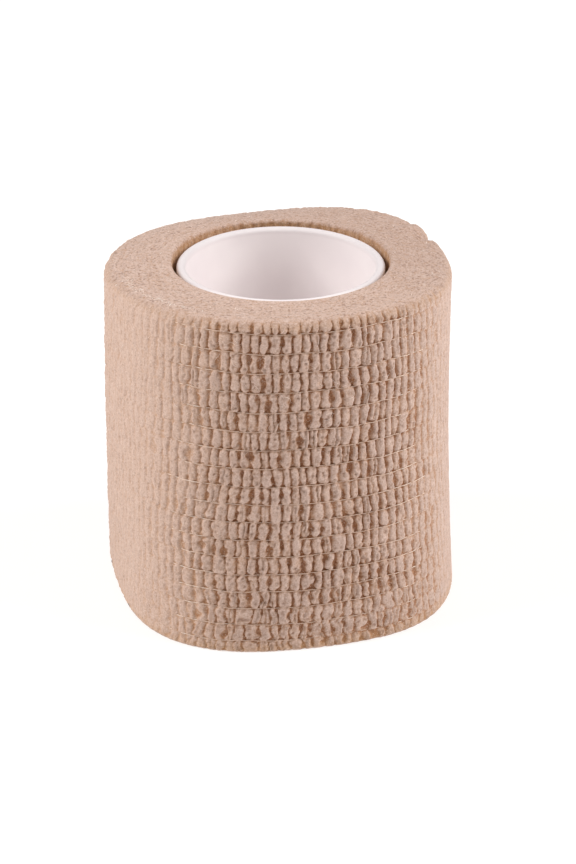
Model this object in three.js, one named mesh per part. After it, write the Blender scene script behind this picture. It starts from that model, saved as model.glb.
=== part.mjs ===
// A roll of cohesive bandage on its plastic core, standing on the flat wound edge of the cloth.
// Millimetres, +Z up. The roll stands on the plane z = 0 and is centred over the origin.
// Angles are in degrees, counter-clockwise seen from above, with 0 at the right and -90 at the front.

import * as THREE from 'three';

// Outer wall of the winding
const wallHeight = 50.3; // table to the top edge of the wall, on average
const wallRadius = 26.9; // mean radius, over the tops of the ribs
const wallTaper = 1.26; // how much smaller the radius is at the top than at the foot
const wallWaist = 0.14; // how far the wall is drawn in at half height, on average
const waistSwing = 0.41; // the right side is drawn in this much more, and the left this much less
const footRounding = 0.4; // small rounding of the edge that it stands on
const shoulderRounding = 1.5; // soft rounding from the wall to the top face

// Outer end of the bandage: the last layer stops here, behind the right side
const layerThickness = 0.46;
const outerEndAngle = 21;

// Unevenness of the winding: swells of the wall, with the angle of the first one, at top and foot
const wallSwells = {
  offCentre: { lobes: 1, topSwell: 0.36, topAngle: 180, footSwell: 1.27, footAngle: -95 },
  oval: { lobes: 2, topSwell: 0.38, topAngle: 64, footSwell: 0.47, footAngle: 95.5 },
  threeSided: { lobes: 3, topSwell: 0.36, topAngle: 47, footSwell: 0.64, footAngle: 21 },
  softCorners: { lobes: 4, topSwell: 0.56, topAngle: 59.5, footSwell: 0.95, footAngle: 52 },
  fiveSided: { lobes: 5, topSwell: 0.25, topAngle: -15, footSwell: 0.34, footAngle: 29 },
};

// The roll was wound a little slantwise, so its top edge leans: it is highest at the front
const topWaves = {
  lean: { lobes: 1, rise: 1.48, angle: -76 },
  saddle: { lobes: 2, rise: 0.34, angle: 54.5 },
};

// Ribs of the crinkled cloth, which stand upright all round the wall
const ribCount = 112;
const ribDepth = 0.6; // from the top of a rib to the bottom of the valley beside it
const ribUnevenness = 0.2; // ribs and valleys lie up to this much lower than the highest
const ribDrift = 0.3; // share of the pitch by which a rib wanders sideways
const wallRows = 9; // rows of points up the wall
const footRibs = 0.6; // share of the ribs' depth left at the edge that it stands on
const shoulderSteps = [
  { turn: 35, ribs: 0.8 },
  { turn: 65, ribs: 0.35 },
];

// Top face: it rises from the wall to a crown beside the core
const crownHeight = 50.9; // mean height of the crown, a little over the core
const crownLean = 0.45; // the crown is this much higher at the front, and lower at the back
const crownLeanAngle = -90;
const crownWidth = 1.1; // from the crown to the inner wall, and down to where it starts
const crownBevel = 0.3; // share of that width in the slope beside the crown
const faceRows = 3; // rows of points across the top face

// Inner wall: it stands off the core at the top, and follows it below
const coreGap = 0.3;
const innerFlare = 0.55; // how much wider the inner wall is at its top
const innerFlareDepth = 4; // how far down that flare reaches

// Core tube
const coreRadius = 15.56;
const coreWall = 1.4;
const coreTop = 49.83;
const coreBottom = 0.6;
const coreLip = 0.45; // bevel of the rims
const coreSegments = 72;

const innerRadius = coreRadius + coreGap;
const radians = THREE.MathUtils.degToRad;

const clothMaterial = new THREE.MeshStandardMaterial({
  name: 'tan_nonwoven',
  color: 0xc9a892,
  roughness: 0.95,
  metalness: 0,
});
const coreMaterial = new THREE.MeshStandardMaterial({
  name: 'white_plastic',
  color: 0xf2eeec,
  roughness: 0.35,
  metalness: 0,
});

// A number from 0 to 1 that looks random and is always the same for the same two indices
function scatter(first, second) {
  const firstStep = 12.9898;
  const secondStep = 78.233;
  const spread = 43758.5453;
  const wave = Math.sin(first * firstStep + second * secondStep) * spread;
  return wave - Math.floor(wave);
}

// How far the last layer lifts the wall: half a layer out just before its end, half a layer in after it
function layerLift(angle) {
  const turn = (radians(outerEndAngle) - angle) / (2 * Math.PI);
  return layerThickness * (0.5 - (turn - Math.floor(turn)));
}

// A wave round the roll with a given number of lobes, at its highest at a given angle in degrees
function wave(lobes, height, highest, angle) {
  return height * Math.cos(lobes * (angle - radians(highest)));
}

function swellLift(angle, heightShare) {
  let lift = 0;
  for (const swell of Object.values(wallSwells)) {
    const top = wave(swell.lobes, swell.topSwell, swell.topAngle, angle);
    const foot = wave(swell.lobes, swell.footSwell, swell.footAngle, angle);
    lift += THREE.MathUtils.lerp(foot, top, heightShare);
  }
  return lift;
}

// Height of the wall's top edge
function topEdgeAt(angle) {
  const waves = Object.values(topWaves);
  return waves.reduce((sum, { lobes, rise, angle: highest }) => sum + wave(lobes, rise, highest, angle), wallHeight);
}

// Radius of the outer wall without its ribs
function wallRadiusAt(angle, height) {
  const share = height / wallHeight;
  const waist = (wallWaist + waistSwing * Math.cos(angle)) * 4 * share * (1 - share);
  const taper = wallTaper * (share - 0.5);
  return wallRadius - waist - taper + swellLift(angle, share) + layerLift(angle);
}

function crownHeightAt(angle) {
  return crownHeight + crownLean * Math.cos(angle - radians(crownLeanAngle));
}

// The next functions list rows of points round the roll. A row gives the share of the ribs' depth
// that it has, and a function from the angle to the radius and height of its points.
function footRows() {
  return [
    { ribs: 0, place: () => [innerRadius, 0] },
    { ribs: footRibs, place: (angle) => [wallRadiusAt(angle, 0) - footRounding, 0] },
  ];
}

function outerWallRows() {
  const rows = [];
  for (let row = 0; row < wallRows; row++) {
    const share = row / (wallRows - 1);
    const place = (angle) => {
      const height = THREE.MathUtils.lerp(footRounding, topEdgeAt(angle) - shoulderRounding, share);
      return [wallRadiusAt(angle, height), height];
    };
    rows.push({ ribs: 1, place });
  }
  return rows;
}

function shoulderRows() {
  return shoulderSteps.map(({ turn, ribs }) => {
    const inward = shoulderRounding * (1 - Math.cos(radians(turn)));
    const down = shoulderRounding * (1 - Math.sin(radians(turn)));
    const place = (angle) => {
      const height = topEdgeAt(angle) - down;
      return [wallRadiusAt(angle, height) - inward, height];
    };
    return { ribs, place };
  });
}

function topFaceRows() {
  const crown = innerRadius + innerFlare + crownWidth;
  const rows = [];
  for (let row = 0; row < faceRows; row++) {
    const share = row / (faceRows - 1);
    const rise = Math.sin(share * Math.PI / 2);
    const place = (angle) => {
      const edge = topEdgeAt(angle);
      return [
        THREE.MathUtils.lerp(wallRadiusAt(angle, edge) - shoulderRounding, crown, share),
        THREE.MathUtils.lerp(edge, crownHeightAt(angle), rise),
      ];
    };
    rows.push({ ribs: 0, place });
  }
  return rows;
}

function innerWallRows() {
  const rim = innerRadius + innerFlare;
  const bevel = crownWidth * crownBevel;
  return [
    { ribs: 0, place: (angle) => [rim + bevel, crownHeightAt(angle) - bevel] },
    { ribs: 0, place: (angle) => [rim, crownHeightAt(angle) - crownWidth] },
    { ribs: 0, place: () => [innerRadius, wallHeight - innerFlareDepth] },
  ];
}

// A closed ring through rows of points. Each row is joined to the next, and the last to the first.
// A row with ribs has a point on each rib and in each valley, and one without has a point for each rib.
function ringGeometry(rows) {
  const pointCount = 2 * ribCount;
  const pitch = 2 * Math.PI / pointCount;
  const positions = [];
  const rings = rows.map(({ ribs, place }, rowIndex) => {
    const ring = [];
    const step = ribs > 0 ? 1 : 2;
    for (let point = 0; point < pointCount; point += step) {
      const rib = Math.floor(point / 2);
      const drift = ribs * ribDrift * 2 * pitch * (scatter(rib, rowIndex) - 0.5);
      const angle = radians(outerEndAngle) + point * pitch + drift;
      const [radius, height] = place(angle);
      const valley = point % 2 === 1 ? ribDepth : 0;
      const uneven = ribUnevenness * scatter(point, rowIndex + rows.length);
      const reach = radius - ribs * (valley + uneven);
      positions.push(reach * Math.cos(angle), reach * Math.sin(angle), height);
      ring.push(positions.length / 3 - 1);
    }
    return ring;
  });

  const indices = [];
  rings.forEach((ring, rowIndex) => {
    joinRings(indices, ring, rings[(rowIndex + 1) % rings.length]);
  });
  const geometry = new THREE.BufferGeometry();
  geometry.setAttribute('position', new THREE.Float32BufferAttribute(positions, 3));
  geometry.setIndex(indices);
  geometry.computeVertexNormals();
  return geometry;
}

// Triangles between two rings whose counts are alike, or of which one has twice the other's points
function joinRings(indices, near, far) {
  const count = Math.min(near.length, far.length);
  const nearStep = near.length / count;
  const farStep = far.length / count;
  for (let index = 0; index < count; index++) {
    const nearPoints = pointsAlong(near, index * nearStep, nearStep);
    const farPoints = pointsAlong(far, index * farStep, farStep);
    for (let point = 0; point < nearStep; point++) {
      indices.push(nearPoints[point], nearPoints[point + 1], farPoints[0]);
    }
    for (let point = 0; point < farStep; point++) {
      indices.push(nearPoints[nearStep], farPoints[point + 1], farPoints[point]);
    }
  }
}

function pointsAlong(ring, start, steps) {
  return Array.from({ length: steps + 1 }, (_, step) => ring[(start + step) % ring.length]);
}

function woundCloth() {
  const rows = [
    ...footRows(),
    ...outerWallRows(),
    ...shoulderRows(),
    ...topFaceRows(),
    ...innerWallRows(),
  ];
  const mesh = new THREE.Mesh(ringGeometry(rows), clothMaterial);
  mesh.name = 'wound_cloth';
  return mesh;
}

function coreTube() {
  const bore = coreRadius - coreWall;
  const profile = [
    [bore, coreBottom + coreLip],
    [bore + coreLip, coreBottom],
    [coreRadius - coreLip, coreBottom],
    [coreRadius, coreBottom + coreLip],
    [coreRadius, coreTop - coreLip],
    [coreRadius - coreLip, coreTop],
    [bore + coreLip, coreTop],
    [bore, coreTop - coreLip],
    [bore, coreBottom + coreLip],
  ].map(([radius, height]) => new THREE.Vector2(radius, height));
  const geometry = new THREE.LatheGeometry(profile, coreSegments);
  geometry.rotateX(Math.PI / 2);
  const mesh = new THREE.Mesh(geometry, coreMaterial);
  mesh.name = 'core_tube';
  return mesh;
}

// The cloth's own box is centred over the origin, and the core moves with it
function bandageRoll() {
  const cloth = woundCloth();
  cloth.geometry.computeBoundingBox();
  const middle = cloth.geometry.boundingBox.getCenter(new THREE.Vector3());
  const roll = new THREE.Group();
  roll.add(cloth, coreTube());
  roll.position.set(-middle.x, -middle.y, 0);
  return roll;
}

export default bandageRoll();
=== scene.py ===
# %% [markdown]
# A roll of cohesive bandage.
# The real thing is one long strip of crinkled cloth, wound on a white plastic tube. Fine elastic threads
# run along the strip, and they gather the thin cloth between them into upright ribs of small pods.
# The packed model already holds the plain shape and every size, so this lesson dresses it: the crinkled
# wall, the wound edges, the threads, a few loose fibres and the tube.

# %% Load the packed model
import math

import bmesh
import bpy
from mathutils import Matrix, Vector


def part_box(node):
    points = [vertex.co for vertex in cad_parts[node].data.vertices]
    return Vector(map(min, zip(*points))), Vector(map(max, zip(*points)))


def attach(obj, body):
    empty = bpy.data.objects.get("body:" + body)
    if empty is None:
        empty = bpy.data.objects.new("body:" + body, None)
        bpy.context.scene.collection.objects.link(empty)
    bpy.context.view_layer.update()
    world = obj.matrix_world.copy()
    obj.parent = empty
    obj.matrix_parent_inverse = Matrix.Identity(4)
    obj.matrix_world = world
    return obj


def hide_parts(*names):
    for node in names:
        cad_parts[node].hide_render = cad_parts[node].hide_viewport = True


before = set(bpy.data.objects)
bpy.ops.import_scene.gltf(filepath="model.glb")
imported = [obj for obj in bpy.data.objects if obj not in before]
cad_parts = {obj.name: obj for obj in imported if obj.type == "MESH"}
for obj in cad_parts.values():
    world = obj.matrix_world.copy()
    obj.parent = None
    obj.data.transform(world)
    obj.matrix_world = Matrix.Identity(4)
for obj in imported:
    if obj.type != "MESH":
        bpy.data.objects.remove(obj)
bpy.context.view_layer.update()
scene = bpy.context.scene
MM = 0.001

# %% [markdown]
# The camera comes first, because everything is seen through it.
# The photo was taken with a long lens from about half a metre, looking down on the roll by 25 degrees.
# The places below are measured from the tube's axis at table level, so they don't depend on where the
# packed model has its origin.

# %% Camera
tube_low, tube_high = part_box("core_tube")
axis_x = (tube_low[0] + tube_high[0]) / 2
axis_y = (tube_low[1] + tube_high[1]) / 2

aim_right, aim_front, aim_height = 1.07 * MM, 0.65 * MM, 22.56 * MM
view_distance = 543.4 * MM
view_tilt = math.radians(25.4)

camera_data = bpy.data.cameras.new("camera")
camera_data.lens = 149
camera_data.sensor_width = 36
camera = bpy.data.objects.new("camera", camera_data)
camera.location = (
    axis_x + aim_right,
    axis_y - aim_front - view_distance * math.cos(view_tilt),
    aim_height + view_distance * math.sin(view_tilt),
)
camera.rotation_euler = (math.pi / 2 - view_tilt, 0, 0)
scene.collection.objects.link(camera)
scene.camera = camera
print("camera stands at, mm:", [round(value / MM) for value in camera.location])

# %% [markdown]
# Node trees are drawn by hand in Blender, but here they are written. A Wire is the end of one node, and
# sums and products of wires add the nodes that work them out, so node maths reads like ordinary maths.

# %% Wires
class Wire:
    """One output socket, for use in ordinary expressions."""

    def __init__(self, board, socket):
        self.board = board
        self.socket = socket

    def maths(self, operation, *others):
        values = dict(enumerate((self, *others)))
        return self.board.node("ShaderNodeMath", {"operation": operation}, values)

    def __add__(self, other):
        return self.maths("ADD", other)

    def __radd__(self, other):
        return self + other

    def __sub__(self, other):
        return self.maths("SUBTRACT", other)

    def __rsub__(self, other):
        return self * -1 + other

    def __mul__(self, other):
        return self.maths("MULTIPLY", other)

    def __rmul__(self, other):
        return self * other

    def __truediv__(self, other):
        return self.maths("DIVIDE", other)

    def __pow__(self, power):
        return self.maths("POWER", power)

    def __abs__(self):
        return self.maths("ABSOLUTE")

    def floor(self):
        return self.maths("FLOOR")

    def rest(self):
        return self.maths("FRACT")

    def sin(self):
        return self.maths("SINE")

    def cos(self):
        return self.maths("COSINE")

    def least(self, other):
        return self.maths("MINIMUM", other)

    def most(self, other):
        return self.maths("MAXIMUM", other)

    def below(self, limit):
        return self.maths("LESS_THAN", limit)

    def between(self, start, end):
        """Goes from 0 at start to 1 at end, and stays there."""
        ends = {"Value": self, "From Min": start, "From Max": end}
        return self.board.node("ShaderNodeMapRange", {"clamp": True}, ends)

    def eased(self, start, end):
        """As between, but leaves 0 and reaches 1 softly."""
        ends = {"Value": self, "From Min": start, "From Max": end}
        return self.board.node("ShaderNodeMapRange", {"interpolation_type": "SMOOTHSTEP"}, ends)


print("a wire can be read through", len([name for name in vars(Wire) if name[0] != "_"]), "named methods")

# %% [markdown]
# A Board is a tree to which nodes are added. Every node comes from its one method, which takes the kind
# of node, its settings and what its sockets get. The same two classes serve materials and shapes.

# %% Boards and paint
class Board:
    """A node tree that grows by one node with each call."""

    def __init__(self, tree):
        self.tree = tree

    def node(self, kind, settings=None, values=None, output=0):
        made = self.tree.nodes.new(kind)
        for name, value in (settings or {}).items():
            if name == "stops":
                self.set_stops(made.color_ramp, value)
            else:
                setattr(made, name, value)
        for name, value in (values or {}).items():
            socket = self.find(made.inputs, name)
            if isinstance(value, Wire):
                self.tree.links.new(value.socket, socket)
            else:
                socket.default_value = value
        return Wire(self, self.find(made.outputs, output))

    def other(self, wire, output):
        """Another output of the node that a wire comes from."""
        return Wire(self, self.find(wire.socket.node.outputs, output))

    def vector(self, x, y, z):
        return self.node("ShaderNodeCombineXYZ", values={0: x, 1: y, 2: z})

    def noise(self, place, size, detail=1.0, seed=0.0):
        """Soft noise from about -1 to 1, with lumps of the given size."""
        values = {"Vector": place, "W": seed, "Scale": 1 / size, "Detail": detail}
        return self.node("ShaderNodeTexNoise", {"noise_dimensions": "4D"}, values) * 2 - 1

    @staticmethod
    def find(sockets, name):
        if isinstance(name, int):
            return sockets[name]
        return next(socket for socket in sockets if socket.enabled and socket.name == name)

    @staticmethod
    def set_stops(ramp, stops):
        while len(ramp.elements) < len(stops):
            ramp.elements.new(1)
        for element, (position, colour) in zip(ramp.elements, stops):
            element.position = position
            element.color = colour


def paint(red, green, blue):
    """A colour as read from a screen, from 0 to 255, turned into amounts of light."""
    return tuple(linear(part / 255) for part in (red, green, blue)) + (1.0,)


def linear(part):
    """The usual curve of screens, which is straight near black."""
    return part / 12.92 if part <= 0.04045 else ((part + 0.055) / 1.055) ** 2.4


print("skin tone in amounts of light:", [round(part, 3) for part in paint(200, 169, 152)])

# %% [markdown]
# The photo is lit evenly by soft light from both sides, on a background that is simply white.
# The sides of the roll are the brightest, and its front is half in shade. So the world gives an even
# base, and two large soft lamps stand at the sides, high enough to light the top and the tube as well.
# A white background needs a floor that stays white in the roll's own shadow. Photographers use a table
# that glows from below, and so does this one: part of the floor's white is light of its own.

# %% Light and floor
scene.view_settings.view_transform = "Standard"
world_strength = 0.42
lamp_table = [
    # name, angle round the roll, angle above the floor, distance m, size m, power W
    ("left_softbox", -172, 40, 0.9, 0.45, 5.35),
    ("right_softbox", -6, 36, 0.9, 0.6, 5.9),
]
lamp_target = Vector((axis_x, axis_y, 25 * MM))

scene.world = bpy.data.worlds.new("studio")
scene.world.use_nodes = True
background = scene.world.node_tree.nodes["Background"]
background.inputs["Color"].default_value = (1.0, 0.99, 0.985, 1)
background.inputs["Strength"].default_value = world_strength

for name, round_angle, high_angle, distance, size, power in lamp_table:
    lamp_data = bpy.data.lights.new(name, "AREA")
    lamp_data.shape = "DISK"
    lamp_data.size = size
    lamp_data.energy = power
    lamp = bpy.data.objects.new(name, lamp_data)
    flat = distance * math.cos(math.radians(high_angle))
    away = Vector((
        flat * math.cos(math.radians(round_angle)),
        flat * math.sin(math.radians(round_angle)),
        distance * math.sin(math.radians(high_angle)),
    ))
    lamp.location = lamp_target + away
    lamp.rotation_euler = away.to_track_quat("Z", "Y").to_euler()
    scene.collection.objects.link(lamp)

floor_reach = 3.0
floor_mesh = bpy.data.meshes.new("floor")
corners = [(-floor_reach, -floor_reach, 0), (floor_reach, -floor_reach, 0),
           (floor_reach, floor_reach, 0), (-floor_reach, floor_reach, 0)]
floor_mesh.from_pydata(corners, [], [(0, 1, 2, 3)])
floor = bpy.data.objects.new("floor", floor_mesh)
scene.collection.objects.link(floor)
floor_material = bpy.data.materials.new("floor_white")
floor_material.use_nodes = True
floor_surface = floor_material.node_tree.nodes["Principled BSDF"]
floor_surface.inputs["Base Color"].default_value = paint(170, 169, 168)
floor_surface.inputs["Roughness"].default_value = 0.9
floor_surface.inputs["Emission Color"].default_value = paint(255, 254, 253)
floor_surface.inputs["Emission Strength"].default_value = 0.66
floor_mesh.materials.append(floor_material)
print("lamps:", len(lamp_table), "and a floor of", 2 * floor_reach, "m")

# %% [markdown]
# The cloth is a thin nonwoven web in skin tone, soaked in a dull rubbery binder.
# Its pods catch the light and look pinkish, and the valleys between them are browner, because light
# bounces about in them and shade falls there: the brown of the valleys is painted shade and bounce
# light. Two or three image maps could paint that, but the shape itself knows where its valleys and
# dimples are: it stores them on every point, and the material reads them and paints them darker.
# Fine noise on Object coordinates adds what is too small to be modelled: fibres as speckles and
# upright streaks, and on the wound edge the pores between its layers, painted dark as painted shade.

# %% Cloth material
def new_surface(name):
    material = bpy.data.materials.new(name)
    material.use_nodes = True
    surface = material.node_tree.nodes["Principled BSDF"]
    return material, Board(material.node_tree), surface


def feed(board, wire, surface, name):
    board.tree.links.new(wire.socket, surface.inputs[name])


def blended(board, share, first, second):
    settings = {"data_type": "RGBA", "clamp_factor": True}
    return board.node("ShaderNodeMix", settings, {"Factor": share, "A": first, "B": second}, "Result")


def lumps(board, place, size, detail=1.0):
    """Noise in a material, from 0 to 1, with lumps of the given size in metres."""
    values = {"Vector": place, "Scale": 1 / size, "Detail": detail}
    return board.node("ShaderNodeTexNoise", {}, values)


STREAK_SQUASH = 0.14  # heights count this much, so that streaks stand upright
# The low, brown end of this ramp is painted shade and bounce light in the valleys; the high end is the
# pods' own tone.
relief_stops = [
    (0.00, paint(140, 91, 58)),
    (0.25, paint(168, 122, 90)),
    (0.50, paint(190, 154, 131)),
    (0.75, paint(200, 169, 152)),
    (1.00, paint(208, 180, 166)),
]

cloth, board, surface = new_surface("tan_nonwoven")
place = board.node("ShaderNodeTexCoord", output="Object")
relief = board.node("ShaderNodeAttribute", {"attribute_name": "relief"}, output="Fac")
parts = board.node("ShaderNodeSeparateXYZ", values={0: place})
upright = board.vector(parts, board.other(parts, "Y"), board.other(parts, "Z") * STREAK_SQUASH)
streak = lumps(board, upright, 0.45 * MM, 2.0)
speckle = lumps(board, place, 0.34 * MM, 2.0)
fleck = lumps(board, place, 0.24 * MM)
patch = lumps(board, place, 7 * MM, 2.0)
spot = lumps(board, place, 0.8 * MM)
shade = relief + (speckle - 0.5) * 0.75 + (streak - 0.5) * 0.5 + (patch - 0.5) * 0.2
colour = board.node("ShaderNodeValToRGB", {"stops": relief_stops}, {"Fac": shade}, "Color")
# A warm ochre: along the foot of the roll it is painted shade and warm bounce light, elsewhere a warmer
# tone of the cloth.
warmth = board.node("ShaderNodeAttribute", {"attribute_name": "warmth"}, output="Fac")
colour = blended(board, warmth * 0.7, colour, paint(196, 152, 108))
# Dimples, pits and dots are painted darker: painted shade in them. The same mark holds the painted shade
# at the back of the top face and the more grey middles of some pods.
dimple = board.node("ShaderNodeAttribute", {"attribute_name": "dimple"}, output="Fac")
colour = blended(board, dimple * 0.8, colour, paint(143, 113, 98))
colour = blended(board, spot.between(0.56, 0.72) * 0.3, colour, paint(166, 138, 124))
colour = blended(board, (1 - fleck).between(0.54, 0.70) * 0.36, colour, paint(142, 115, 101))
colour = blended(board, fleck.between(0.55, 0.72) * 0.35, colour, paint(228, 209, 197))
# Pores on the wound edge are painted dark: painted shade in the gaps between its layers.
pored = board.node("ShaderNodeAttribute", {"attribute_name": "pored"}, output="Fac")
pore = lumps(board, place, 0.5 * MM, 1.0)
colour = blended(board, pore.between(0.58, 0.70) * pored * 0.65, colour, paint(140, 108, 92))
feed(board, colour, surface, "Base Color")
grain = speckle * 0.6 + fleck * 0.4
bump_sizes = {"Strength": 0.8, "Distance": 0.14 * MM, "Height": grain}
bump = board.node("ShaderNodeBump", {}, bump_sizes, "Normal")
feed(board, bump, surface, "Normal")
feed(board, 0.82 + speckle * 0.12, surface, "Roughness")
surface.inputs["Sheen Weight"].default_value = 0.12
surface.inputs["Sheen Roughness"].default_value = 0.5
surface.inputs["Specular IOR Level"].default_value = 0.3
print("cloth material:", len(board.tree.nodes), "nodes")

# %% [markdown]
# The elastic threads are bare, cream-white and a little shiny, and the loose fibres are paler than the
# web; the threads are painted darker at the front of the roll, as painted shade. The tube is satin white
# plastic with the faint waves that moulding leaves, so its highlight isn't perfectly even, and its cut
# rim is painted a little more grey than its inside, most at the back and sides, as painted shade. These
# are small materials, each with its own slight variation.

# %% Thread, fibre and tube materials
def strand_surface(name, dull, dark, light, roughness):
    """Strands run from dark to light in small patches, and are painted darker at the front, as painted
    shade.
    """
    material, board, surface = new_surface(name)
    place = board.node("ShaderNodeTexCoord", output="Object")
    colour = blended(board, lumps(board, place, 0.9 * MM, 2.0).between(0.35, 0.65), dark, light)
    soiled = board.node("ShaderNodeAttribute", {"attribute_name": "soiled"}, output="Fac")
    colour = blended(board, soiled, colour, dull)
    feed(board, colour, surface, "Base Color")
    feed(board, lumps(board, place, 0.5 * MM) * 0.2 + roughness, surface, "Roughness")
    return material


thread_material = strand_surface(
    "cream_elastic", paint(190, 152, 128), paint(230, 203, 181), paint(250, 235, 220), 0.38)
fibre_material = strand_surface(
    "pale_fibre", paint(190, 152, 128), paint(232, 205, 188), paint(252, 240, 230), 0.45)

plastic, board, surface = new_surface("white_plastic")
place = board.node("ShaderNodeTexCoord", output="Object")
mottle = lumps(board, place, 9 * MM, 2.0)
colour = blended(board, mottle.between(0.3, 0.7), paint(238, 229, 229), paint(244, 236, 235))
parts = board.node("ShaderNodeSeparateXYZ", values={0: place})
# The upper rim is painted more grey, most at the back and sides: painted shade on the rim.
rim_height = board.other(parts, "Z").between(48.9 * MM, 49.9 * MM)
rim_shade = rim_height * (board.other(parts, "Y").between(-12 * MM, -7 * MM) * 0.4 + 0.08)
colour = blended(board, rim_shade, colour, paint(208, 199, 200))
feed(board, colour, surface, "Base Color")
feed(board, 0.46 + mottle * 0.10, surface, "Roughness")
surface.inputs["Specular IOR Level"].default_value = 0.3
waves = lumps(board, place, 4 * MM) * 0.7 + lumps(board, place, 0.5 * MM) * 0.05
bump_sizes = {"Strength": 0.25, "Distance": 0.15 * MM, "Height": waves}
bump = board.node("ShaderNodeBump", {}, bump_sizes, "Normal")
feed(board, bump, surface, "Normal")
print("materials:", [material.name for material in bpy.data.materials])

# %% [markdown]
# The roll's own sizes, in millimetres. They are those of the packed model, apart from the crown beside
# the tube and the flare below it, which are a little smaller here, because the soft cloth bends where
# the packed model has a bevel. The roll was wound by machine and squeezed in its pack, so it isn't
# round: swells with one to five lobes shape the wall, and they differ between top and foot. The last
# layer ends behind the right side, and its cut end is a step in the wall. The trees below work in
# millimetres, because sizes of noise are easier to read so, and their last step turns the place into
# metres.

# %% Sizes of the roll
WALL_HEIGHT = 50.3
WALL_RADIUS = 26.9
WALL_TAPER = 1.26
WALL_WAIST = 0.14
WAIST_SWING = 0.41
SHOULDER = 1.5
FOOT_ROUNDING = 0.4
LAYER = 0.46
OUTER_END = math.radians(21)
CROWN_HEIGHT = 50.72
CROWN_LEAN = 0.33
CROWN_WIDTH = 0.55
INNER_RADIUS = 15.86
INNER_FLARE = 0.3

swell_table = [
    # lobes, swell at the top, its angle, swell at the foot, its angle
    (1, 0.36, 180, 1.27, -95),
    (2, 0.38, 64, 0.47, 95.5),
    (3, 0.36, 47, 0.64, 21),
    (4, 0.56, 59.5, 0.95, 52),
    (5, 0.25, -15, 0.34, 29),
]
top_wave_table = [
    # lobes, rise, its angle
    (1, 1.48, -76),
    (2, 0.34, 54.5),
]


def wall_radius(angle, height):
    """Radius of the wall over the tops of the pods, before the lift of the last layer."""
    share = height / WALL_HEIGHT
    waist = angle.cos() * WAIST_SWING + WALL_WAIST
    radius = WALL_RADIUS + WALL_TAPER / 2 - share * WALL_TAPER - share * (1 - share) * 4 * waist
    for lobes, top, top_angle, foot, foot_angle in swell_table:
        at_top = (angle * lobes - lobes * math.radians(top_angle)).cos() * top
        at_foot = (angle * lobes - lobes * math.radians(foot_angle)).cos() * foot
        radius = radius + at_foot + (at_top - at_foot) * share
    return radius


def top_edge(angle):
    """Height of the wall's top edge, which leans, because the roll was wound a little slantwise."""
    height = WALL_HEIGHT
    for lobes, rise, highest in top_wave_table:
        height = (angle * lobes - lobes * math.radians(highest)).cos() * rise + height
    return height


def crown_height(angle):
    """Height of the crown beside the tube, which is highest at the front."""
    return CROWN_HEIGHT - angle.sin() * CROWN_LEAN


def near(angle, middle, out, full):
    """Soft window round an angle in degrees. The cosines say where it is still 0 and where it is 1."""
    return (angle - math.radians(middle)).cos().eased(out, full)


print("top edge leans by", 2 * top_wave_table[0][1], "mm from back to front")

# %% [markdown]
# The crinkle is the heart of the piece. Elastic threads lie 3.1 mm apart at the top and 2.6 mm apart
# at the foot, and pull the web together, so between two threads it stands up in a row of pods. The
# threads could be drawn as curves and the rows fitted between them, but it is simpler to say in one
# formula on which line, or how far between two lines, any place on the strip lies.

# %% Thread lines
STRIP_WIDTH = 51.86
FIRST_THREAD = 50.04
THREAD_LINES = 18
THREAD_PITCH = 3.09
PITCH_LOSS = 0.029


def on_wall(board, angle, way):
    """A place on the mean wall, where noise is read, so that it has no seam."""
    return board.vector(angle.cos() * WALL_RADIUS, angle.sin() * WALL_RADIUS, way)


def thread_sway(board, angle, way):
    """How far a thread line lies above its even place."""
    place = on_wall(board, angle, way)
    slow = board.noise(place, 9) * 0.35
    return (angle + math.radians(150)).cos() * 0.25 + slow + board.noise(place, 2) * 0.08


def thread_place(line):
    """Even place of a thread line on the strip, counted down from its upper edge."""
    return FIRST_THREAD - line * THREAD_PITCH + line * line * (PITCH_LOSS / 2)


def line_at(board, angle, way):
    """The thread line at a place on the strip, as a number with a fraction."""
    below = FIRST_THREAD - way + thread_sway(board, angle, way)
    root = (THREAD_PITCH ** 2 - below * (2 * PITCH_LOSS)) ** 0.5
    return (THREAD_PITCH - root) / PITCH_LOSS


print("thread lines:", THREAD_LINES, "from", thread_place(0), "mm down to",
      round(thread_place(THREAD_LINES - 1), 1), "mm")

# %% [markdown]
# The crinkle isn't as deep everywhere. The pack pressed the roll at its left and right, where the ribs
# are shallow. Their hollows keep their painted shade a little further round than their depth, so one
# function gives the depth round the roll and another the painted shade in the hollows.

# %% Strength of the crinkle
POD_DEPTH = 0.66
PRESSED_DEPTH = 0.28
PRESSED_SHADE = 0.3


def front_and_back(angle):
    """A wave that is highest a little to the right of the front, and on the opposite side."""
    return (angle * 2 + math.radians(164)).cos()


def vigour(angle):
    """How deep the crinkle is: 1 at the front and back, and less at the sides, which the pack pressed."""
    return front_and_back(angle).eased(-0.4, 0.9) * (1 - PRESSED_DEPTH) + PRESSED_DEPTH


def hollow_shade(angle):
    """How dark the painted shade in the hollows is. It reaches further round the sides than their depth.
    """
    shade = front_and_back(angle).eased(-0.8, 0.6) * (1 - PRESSED_SHADE) + PRESSED_SHADE
    return shade * (1 - near(angle, -138, 0.8, 0.98) * 0.4)


def seen_relief(relief, angle):
    """Relief for the colour, whose low end is painted shade; the hollows get paler at the sides."""
    return 1 - (1 - relief) * hollow_shade(angle)


print("pods are", POD_DEPTH, "mm deep, and at the sides", round(POD_DEPTH * PRESSED_DEPTH, 2), "mm")

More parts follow.
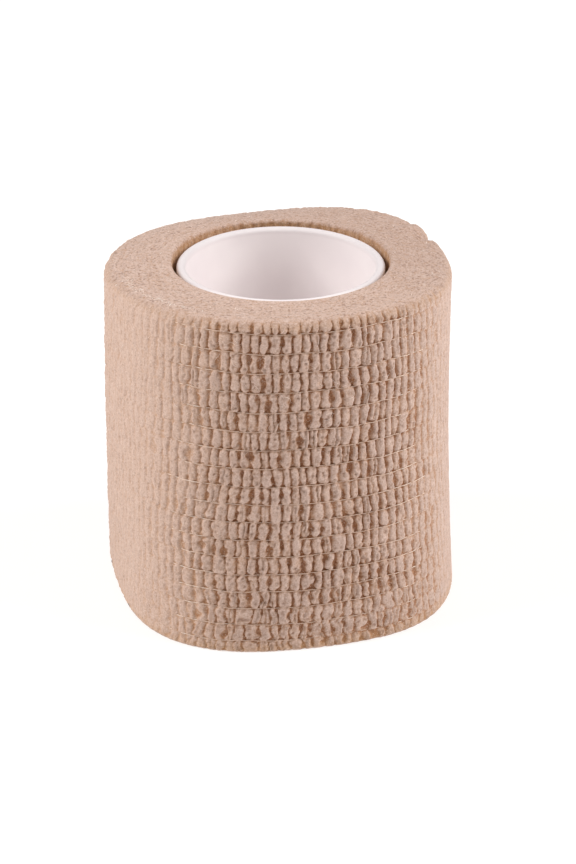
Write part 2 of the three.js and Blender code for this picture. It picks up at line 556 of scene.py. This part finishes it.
# %% [markdown]
# The pods lie 1.5 mm apart. Those of neighbouring rows mostly line up into ribs, but each row is shifted
# a little, and pods lean, merge, split or have dimples, with an oval hollow between two of them here and
# there. Modelling some 2,000 pods one by one would repeat the same shape. Instead one rule gives the
# height of the cloth at any place: which row and which pod it is, how far from the pod's middle, and
# white noise on the pod's number for its own width, height and dimples. Inside a pod, across and along
# run from -1 to 1, so most numbers below are shares of half a pod.

# %% Numbering the pods
POD_COUNT = 112
RIB_LEAN = 0.7
ROW_SHIFT = 0.75


def pod_places(board, angle, way, row, pressed):
    """Place round the roll, counted in pods."""
    lean = board.noise(on_wall(board, angle, way), 15, seed=3.0) * RIB_LEAN
    shift = board.noise(on_wall(board, angle, row * 9), 3.4, seed=5.0) * ROW_SHIFT
    wobble = board.noise(on_wall(board, angle, way + row * 9), 1.6, seed=6.0) * (pressed * 0.3 + 0.26)
    wobble = wobble + board.noise(on_wall(board, angle, way), 0.9) * 0.16
    return angle * (POD_COUNT / math.tau) + lean + shift + wobble


def lots(board, pod, row, draw):
    """Three numbers from 0 to 1, drawn by lot for one pod."""
    drawn = board.node("ShaderNodeTexWhiteNoise", {"noise_dimensions": "3D"},
                       {"Vector": board.vector(pod, row, draw)}, "Color")
    parts = board.node("ShaderNodeSeparateXYZ", values={0: drawn})
    return [board.other(parts, name) for name in "XYZ"]


def dots(board, angle, radius, way, apart, share, growth=0.0):
    """Small round spots of 1 on 0, about so far apart, in a share of the places where one could be."""
    place = board.vector(angle * radius, way, 0.0)
    distance = board.node("ShaderNodeTexVoronoi", {"voronoi_dimensions": "2D"},
                          {"Vector": place, "Scale": 1 / apart}, "Distance")
    parts = board.node("ShaderNodeSeparateXYZ", values={0: board.other(distance, "Color")})
    size = board.other(parts, "Y") * 0.14 + 0.2 + growth
    strength = board.other(parts, "Z") * 0.6 + 0.4
    return (1 - (distance / size).eased(0.4, 1.2)) * parts.below(share) * strength


def bump_at(side, end):
    """A soft round bump: 1 in its middle, and about a third where one of its distances is 1."""
    return ((side * side + end * end) * -1).maths("EXPONENT")


print("pods:", POD_COUNT, "in a row, about", POD_COUNT * THREAD_LINES, "in all")

# %% [markdown]
# The rule itself. A pod is a dome across and nearly level along, with its ends pinched by the threads.
# Hollows and splits are cut out of it, and runs where pods merge are filled up again. It gives two
# things, the height for the shape and the dimples for the colour, which paints them darker as painted
# shade, because a real dimple looks darker than its depth alone would make it.

# %% The crinkle rule
def crinkle(board, angle, way):
    """Height of the cloth, from 0 in the deepest hollow to about 1 on the pods, and its dimples, whose
    darkness is painted shade.
    """
    place = on_wall(board, angle, way)
    line = line_at(board, angle, way) + board.noise(place, 1.1, seed=18.0) * 0.05
    row = line.floor()
    along = line.rest() * 2 - 1
    end = abs(along)
    pressed = 1 - way.eased(2, 14)
    row_place = on_wall(board, angle, way + row * 9)
    count = pod_places(board, angle, way, row, pressed)
    pod = count.floor()
    across = count.rest() * 2 - 1
    joint = (count + 0.5).floor()
    beside = count - joint

    width_lot, tall_lot, pinch_lot = lots(board, pod, row, 1.0)
    dimple_x, dimple_y, dimple_lot = lots(board, pod, row, 2.0)
    hollow_lot, hollow_y, hollow_width = lots(board, joint, row, 3.0)
    split_lot, split_x, split_depth = lots(board, pod, row, 4.0)

    swell = board.noise(row_place, 1.0, seed=8.0) * (pressed * 0.1 + 0.3)
    pinch = end ** 5 * (pinch_lot * 0.5 + 0.22)
    half_width = (width_lot * 0.12 + 0.85 + swell - pinch).least(0.98).most(0.4)
    side = (abs(across) / half_width).least(1)
    dome = (1 - side ** 3.2) ** 0.5
    bow = 1 - end ** 8 * (pinch_lot * 0.4 + 0.22)
    slit = 1 - (abs(across - (split_x - 0.5) * 0.4) / 0.2).least(1)
    split = slit * split_lot.below(pressed * 0.45 + 0.12) * (split_depth * 0.5 + 0.3)
    tall = tall_lot * 0.24 + 0.82

    hollow_side = beside / (hollow_width * 0.24 + 0.12)
    hollow_end = (along - (hollow_y - 0.5) * 0.9) / (hollow_width * 0.3 + 0.36)
    oval = hollow_side * hollow_side + hollow_end * hollow_end + board.noise(place, 0.9, seed=14.0) * 0.5
    hollow = (1 - oval.eased(0.45, 1.15)) * hollow_lot.eased(0.42, 0.62)

    dimple_side = (across - (dimple_x - 0.5) * 0.9) / 0.26
    dimple_end = (along - dimple_y.below(0.5) * 1.4 + 0.7 + (dimple_x - 0.5) * 0.4) / 0.14
    dimple = bump_at(dimple_side, dimple_end) * (dimple_lot * 0.75 + 0.4)
    crater_side = (across + (dimple_x - 0.5) * 0.6) / 0.32
    crater_end = (along + dimple_y.below(0.5) * 0.9 - 0.45) / 0.24
    crater = bump_at(crater_side, crater_end) * split_depth.eased(0.1, 0.6)
    dimple = dimple.most(crater * (pressed * 0.35 + 0.7))
    dimple = dimple.most(dots(board, angle, WALL_RADIUS, way, 0.85, 0.6, pressed * 0.08 + 0.05) * 0.9)
    # The middles of the taller pods are painted more grey.
    grey_middle = (1 - side * side) * (1 - along * along) * tall_lot * (pressed * 0.25 + 0.5)

    merge = board.noise(row_place, 2.2, seed=7.0).eased(0.28, 0.6) * 0.6
    bottom = (board.noise(place, 2.6, seed=12.0) * 0.6 + 0.1).most(0)
    lumpy = board.noise(place, 0.95, seed=9.0) * 0.12 + board.noise(place, 0.42, seed=11.0) * 0.14
    pods = (dome * tall * (1 - split)).most(merge).most(bottom) * (1 - hollow * 0.85)
    return pods * bow * (1 - dimple * 0.45) + lumpy, dimple.most(grey_middle) * pods.between(0.3, 0.8)


print("a row of pods is", THREAD_PITCH, "mm high at the top of the wall")

# %% [markdown]
# A grid of points is bent into the roll. Across the grid runs the angle, from the cut end once round to
# the cut end again, and up the grid runs the way over the roll: up the wall and over the soft shoulder.
# The last column of points falls back on the first one, which leaves the narrow upright face of the cut
# edge. One mesh of the whole wall would be heavy, so it is made as three, which meet at a thread.

# %% Bending a grid into the roll
COLUMNS = 1100
WALL_TOP = 51.2


def new_tree(name, sizes, on_shape=False):
    """An empty tree. Its inputs are the shape that it works on, if any, and its named sizes."""
    tree = bpy.data.node_groups.new(name, "GeometryNodeTree")
    if on_shape:
        tree.interface.new_socket("Geometry", in_out="INPUT", socket_type="NodeSocketGeometry")
    kinds = {int: "NodeSocketInt", float: "NodeSocketFloat"}
    for label, value in sizes.items():
        socket = tree.interface.new_socket(label, in_out="INPUT", socket_type=kinds[type(value)])
        socket.default_value = value
    tree.interface.new_socket("Geometry", in_out="OUTPUT", socket_type="NodeSocketGeometry")
    board = Board(tree)
    entry = board.node("NodeGroupInput")
    labels = ["Geometry", *sizes] if on_shape else sizes
    return board, {label: board.other(entry, label) for label in labels}


def finish_tree(board, shape, material):
    """Makes instances real, gives the material and ends the tree."""
    shape = board.node("GeometryNodeRealizeInstances", values={"Geometry": shape})
    shape = board.node("GeometryNodeSetMaterial", values={"Geometry": shape, "Material": material})
    end = board.tree.nodes.new("NodeGroupOutput")
    board.tree.links.new(shape.socket, end.inputs[0])
    return board.tree


def grow(name, tree, sizes, start=None):
    """Runs a tree once and keeps the result as an ordinary mesh at the origin."""
    piece = bpy.data.objects.new(name, start or bpy.data.meshes.new(name))
    modifier = piece.modifiers.new("grow", "NODES")
    modifier.node_group = tree
    for item in tree.interface.items_tree:
        if item.in_out == "INPUT" and item.name in sizes:
            modifier[item.identifier] = sizes[item.name]
    scene.collection.objects.link(piece)
    seen = piece.evaluated_get(bpy.context.evaluated_depsgraph_get())
    mesh = bpy.data.meshes.new_from_object(seen)
    piece.modifiers.clear()
    piece.data = mesh
    mesh.name = name
    mesh.shade_smooth()
    triangles = sum(len(face.vertices) - 2 for face in mesh.polygons)
    print(name, "has", triangles, "triangles")
    return piece


def bent_grid(board, columns, rows):
    """A flat grid with its angle, its turn from 0 to 1 and its share of the way from 0 to 1."""
    values = {"Size X": 1.0, "Size Y": 1.0, "Vertices X": columns + 1, "Vertices Y": rows}
    grid = board.node("GeometryNodeMeshGrid", values=values, output="Mesh")
    spot = board.node("GeometryNodeInputPosition")
    spot = board.node("ShaderNodeSeparateXYZ", values={0: spot})
    column = (spot + 0.5) * columns
    turn = (column / (columns - 1)) * column.below(columns - 0.5)
    share = board.other(spot, "Y") + 0.5
    return grid, turn, share


def stored(board, shape, fields):
    """Stores numbers on the points of a shape, for its material."""
    settings = {"data_type": "FLOAT", "domain": "POINT"}
    for name, field in fields.items():
        values = {"Geometry": shape, "Name": name, "Value": field}
        shape = board.node("GeometryNodeStoreNamedAttribute", settings, values)
    return shape


def spot_round(board, angle, reach, level):
    """A place in metres, from an angle round the tube's axis and a radius and height in mm."""
    return board.vector(
        angle.cos() * reach * MM + axis_x,
        angle.sin() * reach * MM + axis_y,
        level * MM,
    )


def lay_out(board, grid, angle, radius, height, facing, lift, fields):
    """Moves the points out along their facing by lift, from a radius and height, and stores fields."""
    reach = radius + facing.cos() * lift
    level = height + facing.sin() * lift
    spot = spot_round(board, angle, reach, level)
    grid = stored(board, grid, fields)
    grid = board.node("GeometryNodeSetPosition", values={"Geometry": grid, "Position": spot})
    return board.node("GeometryNodeMergeByDistance", values={"Geometry": grid, "Distance": 0.002 * MM})


def cut_wobble(board, height):
    """The cut end of the bandage isn't quite straight, and all angles follow it."""
    return board.noise(board.vector(0.0, 0.0, height), 6, 2.0, 13.0) * 0.012


print("grid of", COLUMNS, "columns, one every", round(math.tau * WALL_RADIUS / COLUMNS, 2), "mm")

# %% [markdown]
# The wall. The ribs run on over the soft shoulder and end where the layers lie flat on top. Near the
# foot the pods are lower and more uneven, since the roll's own weight presses them. Behind the right
# side the outer layers are folded a little, and at the left they are softly lumpy.

# %% The crinkled wall
def wall_reach(angle, height, turn, facing):
    """Radius of the wall and its shoulder, with the step of the last layer."""
    return wall_radius(angle, height) + (turn - 0.5) * LAYER - (1 - facing.cos()) * SHOULDER


def up_the_wall(angle, way):
    """Height and facing at a way up the strip: upright, then turning in over the shoulder."""
    edge = top_edge(angle)
    straight = edge - SHOULDER
    climb = way * edge / STRIP_WIDTH
    facing = ((climb - straight) / SHOULDER).most(0).least(math.pi / 2)
    return climb.least(straight) + facing.sin() * SHOULDER, facing


def rough_edge(board, angle, way):
    """Folds and lumps of the outer layers behind the right side, and soft lumps at the left one."""
    place = on_wall(board, angle, way)
    folds = ((angle - math.radians(34)) * 20).cos() * (way.eased(25, 48) * 0.3 + 0.12)
    lumps_right = board.noise(place, 2.2, seed=41.0) * near(angle, 45, 0.85, 0.95) * 0.4
    lumps_left = board.noise(place, 1.4, seed=45.0) * near(angle, -172, 0.8, 0.97) * 0.3
    return folds * near(angle, 31, 0.974, 0.9925) + lumps_right + lumps_left


wall_sizes = {"Columns": COLUMNS, "Rows": 88, "Low way": 0.0, "High way": 50.0, "Depth": POD_DEPTH}


def crinkled_wall():
    board, sizes = new_tree("crinkled wall", wall_sizes)
    grid, turn, share = bent_grid(board, sizes["Columns"], sizes["Rows"])
    way = sizes["Low way"] + (sizes["High way"] - sizes["Low way"]) * share
    angle = OUTER_END + turn * math.tau + cut_wobble(board, way)
    height, facing = up_the_wall(angle, way)
    radius = wall_reach(angle, height, turn, facing)
    relief, dimple = crinkle(board, angle, way)
    depth = vigour(angle) * (way.eased(2, 14) * 0.4 + 0.6) * (1 - way.eased(49, 51) * 0.2)
    lift = (relief - 1) * depth * sizes["Depth"] + rough_edge(board, angle, way)
    # At the foot the warm ochre is painted shade and warm bounce light; over the shoulder and at the left
    # it is a warmer tone.
    warmth = (1 - way.eased(0.4, 2.2)) * 0.6 + way.eased(50.0, 51.2) * 0.35
    warmth = warmth.most(near(angle, -145, 0.6, 0.95) * 0.2)
    # Dimples painted darker, as painted shade, less so at the pressed sides.
    spots = dimple * hollow_shade(angle)
    fields = {"relief": seen_relief(relief, angle), "warmth": warmth, "dimple": spots, "fuzz": depth}
    shape = lay_out(board, grid, angle, radius, height, facing, lift, fields)
    return finish_tree(board, shape, cloth)


wall_tree = crinkled_wall()
wall_table = [
    # name, way at its foot, way at its top
    ("outer_wrap_lower", FOOT_ROUNDING, thread_place(11)),
    ("outer_wrap_middle", thread_place(11), thread_place(5)),
    ("outer_wrap_upper", thread_place(5), WALL_TOP),
]
wraps = []
for name, low_way, high_way in wall_table:
    wraps.append(grow(name, wall_tree, {**wall_sizes, "Low way": low_way, "High way": high_way}))

# %% [markdown]
# The top face is the wound edge of some 25 layers. Pressed together they hardly show one by one: fine
# strokes run along them, with small pits where layers stand apart, and a faint spiral. A thin arc at the
# left is frayed. The face rises to a crown beside the tube, bends over it and goes down as the inner
# wall, which has soft pleats of its own.

# %% Grain of the wound edge
def wrinkles(board, angle, radius, height, turn):
    """Relief of the wound edge: fine strokes along the layers, pits and a faint spiral, and its pits,
    which the colour paints dark as painted shade.
    """
    way = radius - height
    place = board.vector(angle.cos() * 21, angle.sin() * 21, way * 1.6)
    stroke_place = board.vector(angle.cos() * 21, angle.sin() * 21, way * 2.6)
    strokes = board.noise(stroke_place, 0.8, seed=21.0)
    grain = board.noise(place, 0.42, seed=25.0)
    pits = dots(board, angle, 21, way * 1.6, 0.7, 0.35)
    layers = ((wall_radius(angle, WALL_HEIGHT) - radius) / LAYER + turn) * math.tau
    spiral = (layers + board.noise(place, 2.5, seed=27.0) * 2.5).cos()
    strength = board.noise(place, 5, seed=29.0).between(-0.3, 0.6)
    return strokes * 0.7 + grain * 0.35 + spiral * strength * 0.14 - pits * 0.35 + 0.7, pits


print("layers from the tube to the wall: about", round((WALL_RADIUS - INNER_RADIUS) / LAYER))

# %% [markdown]
# Along each column of the top face the points travel from the shoulder over the face and the crown down
# into the inner wall. One length, the travel, says how far they have come, and each part takes its share
# of it. So the parts join without a seam, which a mesh for each of them would have.

# %% The wound edge on top
RIB_END = 51.0
FACE_START = 52.6
FRAYED_WAY = 53.6
FRAYED_FUZZ = 42
top_sizes = {"Columns": COLUMNS, "Rows": 80, "Depth": 0.2}


def wound_edge_top():
    board, sizes = new_tree("wound edge", top_sizes)
    grid, turn, share = bent_grid(board, sizes["Columns"], sizes["Rows"])

    angle = OUTER_END + turn * math.tau + cut_wobble(board, WALL_TOP)
    wall_edge = top_edge(angle)
    start_turn = ((WALL_TOP / STRIP_WIDTH - 1) * wall_edge + SHOULDER) / SHOULDER
    edge_way = (math.pi / 2 - start_turn) * SHOULDER
    face_way = 8.4
    crown_way = CROWN_WIDTH * math.pi / 2
    inner_way = 5.0
    travel = share * (edge_way + (face_way + crown_way + inner_way))
    bend = (start_turn + travel / SHOULDER).least(math.pi / 2)
    across = travel.between(edge_way, edge_way + face_way)
    past_face = travel - edge_way - face_way
    over = past_face.between(0, crown_way) * (math.pi / 2)
    down = past_face.between(crown_way, crown_way + inner_way)

    shoulder_height = wall_edge - SHOULDER + bend.sin() * SHOULDER
    lifted = (turn - 0.5) * LAYER * (1 - across.between(0, 0.25))
    edge = wall_radius(angle, shoulder_height) + lifted - (1 - bend.cos()) * SHOULDER
    crown_radius = INNER_RADIUS + INNER_FLARE + CROWN_WIDTH
    radius = edge + (crown_radius - edge) * across
    radius = radius - over.sin() * CROWN_WIDTH - down.eased(0, 1) * INNER_FLARE
    rise = (crown_height(angle) - wall_edge) * (across * (math.pi / 2)).sin()
    height = shoulder_height + rise - (1 - over.cos()) * CROWN_WIDTH - down * inner_way
    facing = bend + over

    way = travel + WALL_TOP
    depth = vigour(angle) * 0.8
    pods, dimple = crinkle(board, angle, way)
    ragged = board.noise(on_wall(board, angle, 0.0), 1.2, seed=35.0)
    fade = 1 - (way + ragged).eased(RIB_END, FACE_START)
    grain, pits = wrinkles(board, angle, radius, height, turn)
    calm = 1 - across.eased(0.7, 1.0) * 0.85
    inside = over.between(math.pi / 5, math.pi / 2)
    pleat_place = board.vector(angle.cos() * 16, angle.sin() * 16, height * 0.5)
    pleats = (angle * 66 + board.noise(pleat_place, 2.5) * 4).cos() * 0.5
    pleats = pleats + board.noise(pleat_place, 1.6) * 0.8
    lift = (pods - 1) * depth * POD_DEPTH * fade + (grain - 0.7) * sizes["Depth"] * calm * (1 - fade)
    lift = lift + (pleats - 1) * inside * 0.12
    lift = lift + rough_edge(board, angle, way) * (1 - across.between(0.1, 0.4))
    relief = seen_relief(pods, angle) * fade + (grain * 0.7 + 0.28) * (1 - fade)
    # The inner wall is painted darker, more so further down: painted shade in the gap beside the tube.
    relief = relief + (pleats * 0.26 - 0.3 - down * 0.9) * inside
    warmth = (inside * 0.85).most(fade * 0.35)
    # The back of the top face is painted darker: painted shade.
    back_shade = near(angle, 50, -0.3, 0.8) * 0.28
    # Dimples and the pits between layers are painted dark: painted shade in them.
    spots = dimple * hollow_shade(angle) * fade + (pits + back_shade) * (1 - fade) * (1 - inside)
    drift = board.noise(on_wall(board, angle, 0.0), 6, seed=43.0) * 0.5
    ring = 1 - abs(way + drift - FRAYED_WAY).between(0.2, 0.7)
    frayed = near(angle, -143, 0.88, 0.95) * ring * FRAYED_FUZZ + 0.5
    fuzz = frayed * (1 - inside) * across.between(0.96, 0.9)
    # Where the pores are painted dark, as painted shade.
    pored = (1 - fade) * (1 - inside) * (calm * 0.7 + 0.3)
    fields = {"relief": relief, "warmth": warmth, "dimple": spots, "fuzz": fuzz, "pored": pored}
    shape = lay_out(board, grid, angle, radius, height, facing, lift, fields)
    return finish_tree(board, shape, cloth)


top_tree = wound_edge_top()
wound_top = grow("wound_edge_top", top_tree, top_sizes)

# %% [markdown]
# The edge that the roll stands on is the same wound edge, but its own weight and the table press it
# flat. Its grain is shallow and only goes up into the roll, so that it rests on the table everywhere.

# %% The wound edge below
foot_sizes = {"Columns": COLUMNS, "Rows": 26, "Depth": 0.12}


def wound_edge_below():
    board, sizes = new_tree("foot edge", foot_sizes)
    grid, turn, share = bent_grid(board, sizes["Columns"], sizes["Rows"])

    inner_way = 3.0
    bend_way = 0.8
    face_way = 9.5
    travel = share * (inner_way + bend_way + face_way + bend_way)
    down = travel.between(0, inner_way)
    bend = travel.between(inner_way, inner_way + bend_way) * (math.pi / 2)
    across = travel.between(inner_way + bend_way, inner_way + bend_way + face_way)
    up_start = inner_way + bend_way + face_way
    up_end = inner_way + 2 * bend_way + face_way
    up = travel.between(up_start, up_end) * (math.pi / 2)

    angle = OUTER_END + turn * math.tau + cut_wobble(board, FOOT_ROUNDING)
    foot_rise = top_edge(angle) / STRIP_WIDTH * FOOT_ROUNDING
    height = (1 - down) * inner_way + (1 - bend.sin()) * FOOT_ROUNDING + (1 - up.cos()) * foot_rise
    start = INNER_RADIUS + (1 - bend.cos()) * FOOT_ROUNDING
    edge = wall_radius(angle, height) + (turn - 0.5) * LAYER * across.between(0.75, 1) - FOOT_ROUNDING
    radius = start + (edge - start) * across + up.sin() * FOOT_ROUNDING
    facing = bend + up - math.pi

    pods, dimple = crinkle(board, angle, (1 - up.cos()) * FOOT_ROUNDING)
    depth = vigour(angle) * 0.6
    pod_share = up.eased(0, math.pi / 2)
    grain, pits = wrinkles(board, angle, radius, height, turn)
    lift = (pods - 1) * depth * POD_DEPTH * pod_share
    lift = lift + (grain.least(1) - 1) * sizes["Depth"] * (1 - pod_share)
    relief = seen_relief(pods, angle) * pod_share + (grain * 0.5 + 0.4) * (1 - pod_share)
    # Dimples and pits are painted dark: painted shade in them.
    spots = dimple * hollow_shade(angle) * pod_share + pits * (1 - pod_share)
    # The turned-up foot gets the warm ochre: painted shade and warm bounce light under the roll.
    fields = {"relief": relief, "warmth": pod_share * 0.6, "dimple": spots, "pored": 1 - pod_share}
    shape = lay_out(board, grid, angle, radius, height, facing, lift, fields)
    return finish_tree(board, shape, cloth)


foot_tree = wound_edge_below()
wound_foot = grow("wound_edge_foot", foot_tree, foot_sizes)

# %% [markdown]
# The elastic threads lie on the pinched lines between the rows of pods. They are taut, so they bridge
# the valleys instead of dipping into them, and a high pod here and there covers one. At the far left
# and right they lie deeper. A circle is copied once for each line, and the rule that pinches the cloth
# also says where the circle goes.

# %% Elastic threads
thread_sizes = {"Lines": THREAD_LINES, "Points": 640, "Thread radius": 0.06, "Sunk": 0.26}


def elastic_threads():
    board, sizes = new_tree("elastic threads", thread_sizes)
    circle = board.node("GeometryNodeCurvePrimitiveCircle", {"mode": "RADIUS"},
                        {"Resolution": sizes["Points"]})
    copies = board.node("GeometryNodeDuplicateElements", {"domain": "SPLINE"},
                        {"Geometry": circle, "Amount": sizes["Lines"]})
    line = board.other(copies, "Duplicate Index")
    share = board.node("GeometryNodeSplineParameter", output="Factor")

    even = thread_place(line)
    rough_angle = OUTER_END + share * math.tau
    way = even + thread_sway(board, rough_angle, even)
    angle = rough_angle + cut_wobble(board, way)
    height, facing = up_the_wall(angle, way)
    radius = wall_reach(angle, height, share, facing)
    place = on_wall(board, angle, way)
    slack = board.noise(place, 1.4, detail=2.0, seed=31.0) * 0.3
    stretch = board.noise(place, 7, seed=37.0) * 0.3
    buried = near(angle, -160, 0.7, 0.95) * 0.35
    low_right = near(angle, -5, 0.72, 0.98) * (1 - way.eased(24, 44) * 0.6)
    buried = buried + low_right * 0.28
    lift = slack + stretch - sizes["Sunk"] - buried
    level = height + facing.sin() * lift + board.noise(place, 0.9, seed=33.0) * 0.07
    spot = spot_round(board, angle, radius + facing.cos() * lift, level)
    # Threads at the front of the roll are painted darker: painted shade, where less light falls.
    copies = stored(board, copies, {"soiled": near(angle, -82, 0.75, 0.98) * 0.6})
    moved = board.node("GeometryNodeSetPosition", values={"Geometry": copies, "Position": spot})
    section = board.node("GeometryNodeCurvePrimitiveCircle", {"mode": "RADIUS"},
                         {"Resolution": 4, "Radius": sizes["Thread radius"] * MM})
    tubes = board.node("GeometryNodeCurveToMesh", values={"Curve": moved, "Profile Curve": section})
    return finish_tree(board, tubes, thread_material)


threads = grow("elastic_threads", elastic_threads(), thread_sizes)

# %% [markdown]
# A nonwoven web sheds a few fibres. They lie on the cloth, thin and bent, and give it its slight
# sparkle. Points are scattered with a fixed seed on the upper wall and on the wound edge, as densely as
# the cloth's own fuzz says, and each one carries a short bent tube of three sides, turned at random in
# the surface.

# %% Loose fibres
wall_fibres = {"Density": 0.30, "Shortest": 0.5, "Longest": 1.6, "Fibre radius": 0.014}
top_fibres = {"Density": 0.12, "Shortest": 0.25, "Longest": 0.7, "Fibre radius": 0.08}


def loose_fibres():
    board, sizes = new_tree("loose fibres", wall_fibres, on_shape=True)
    fuzz = board.node("GeometryNodeInputNamedAttribute", {"data_type": "FLOAT"},
                      {"Name": "fuzz"}, "Attribute")
    density = sizes["Density"] * fuzz / (MM * MM)
    points = board.node("GeometryNodeDistributePointsOnFaces", {"distribute_method": "RANDOM"},
                        {"Mesh": sizes["Geometry"], "Density": density, "Seed": 4})
    facing = board.node("FunctionNodeAlignRotationToVector", {"axis": "Z"},
                        {"Vector": board.other(points, "Normal")})
    spin = board.node("FunctionNodeRandomValue", {"data_type": "FLOAT"},
                      {"Min": 0.0, "Max": math.tau, "Seed": 5}, "Value")
    turned = board.node("FunctionNodeRotateRotation", {"rotation_space": "LOCAL"},
                        {"Rotation": facing, "Rotate By": board.vector(0.0, 0.0, spin)})
    length = board.node("FunctionNodeRandomValue", {"data_type": "FLOAT"},
                        {"Min": sizes["Shortest"], "Max": sizes["Longest"], "Seed": 6}, "Value")

    ends = {"Start": (-0.5, -0.12, -0.06), "Middle": (0.05, 0.25, 0.22), "End": (0.5, -0.1, -0.04)}
    bow = board.node("GeometryNodeCurveQuadraticBezier", values={"Resolution": 4, **ends})
    section = board.node("GeometryNodeCurvePrimitiveCircle", {"mode": "RADIUS"},
                         {"Resolution": 3, "Radius": sizes["Fibre radius"]})
    hair = board.node("GeometryNodeCurveToMesh", values={"Curve": bow, "Profile Curve": section,
                                                         "Fill Caps": True})
    strewn = board.node("GeometryNodeInstanceOnPoints", values={
        "Points": points, "Instance": hair, "Rotation": turned, "Scale": length * MM})
    return finish_tree(board, strewn, fibre_material)


fibre_tree = loose_fibres()
fibres = [
    grow("loose_fibres_wall", fibre_tree, wall_fibres, wraps[2].data.copy()),
    grow("loose_fibres_top", fibre_tree, top_fibres, wound_top.data.copy()),
]

# %% [markdown]
# The tube is turned from one outline: a straight wall with softly rounded rims. The packed tube has the
# same sizes with flat facets, which would show on the bright rim, so a rounder one stands for it. Its
# upper rim slants and reaches 0.6 mm higher in front, where a thin line of it shows over the crown.

# %% The plastic tube
TUBE_RADIUS = 15.56
TUBE_WALL = 1.4
TUBE_TOP = 49.83
TUBE_BOTTOM = 0.6
RIM_ROUNDING = 0.55
RIM_SLANT = 0.6
TURN_STEPS = 240
ARC_STEPS = 6


def rim_arc(radius, height, start):
    """Points of a quarter circle round a rim's corner, with start in quarter turns."""
    angles = [math.pi / 2 * (start + step / ARC_STEPS) for step in range(ARC_STEPS + 1)]
    return [
        (radius + RIM_ROUNDING * math.cos(turn), height + RIM_ROUNDING * math.sin(turn))
        for turn in angles
    ]


def turned_tube():
    inside = TUBE_RADIUS - TUBE_WALL + RIM_ROUNDING
    outside = TUBE_RADIUS - RIM_ROUNDING
    high = TUBE_TOP - RIM_ROUNDING
    low = TUBE_BOTTOM + RIM_ROUNDING
    outline = rim_arc(outside, high, 0) + rim_arc(inside, high, 1)
    outline += rim_arc(inside, low, 2) + rim_arc(outside, low, 3)
    shape = bmesh.new()
    rings = []
    for step in range(TURN_STEPS):
        turn = math.tau * step / TURN_STEPS
        slant = RIM_SLANT * ((1 - math.sin(turn)) / 2) ** 2
        rings.append([
            shape.verts.new((
                axis_x + radius * MM * math.cos(turn),
                axis_y + radius * MM * math.sin(turn),
                (height + slant * (height > TUBE_TOP / 2)) * MM,
            ))
            for radius, height in outline
        ])
    for step, ring in enumerate(rings):
        after = rings[(step + 1) % TURN_STEPS]
        for index in range(len(outline)):
            following = (index + 1) % len(outline)
            shape.faces.new((ring[index], after[index], after[following], ring[following]))
    mesh = bpy.data.meshes.new("tube_sleeve")
    shape.to_mesh(mesh)
    shape.free()
    mesh.shade_smooth()
    mesh.materials.append(plastic)
    piece = bpy.data.objects.new("tube_sleeve", mesh)
    scene.collection.objects.link(piece)
    return piece


tube = turned_tube()
print("tube_sleeve has", 2 * len(tube.data.polygons), "triangles")

# %% [markdown]
# Last, the pieces ride on one body, since the roll has no joint, and the packed parts that they stand in
# for are hidden.

# %% Hand the pieces to the frame
for piece in (*wraps, wound_top, wound_foot, threads, *fibres):
    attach(piece, "root")
for piece in (*wraps, wound_top, wound_foot):
    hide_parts("wound_cloth")
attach(tube, "root")
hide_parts("core_tube")
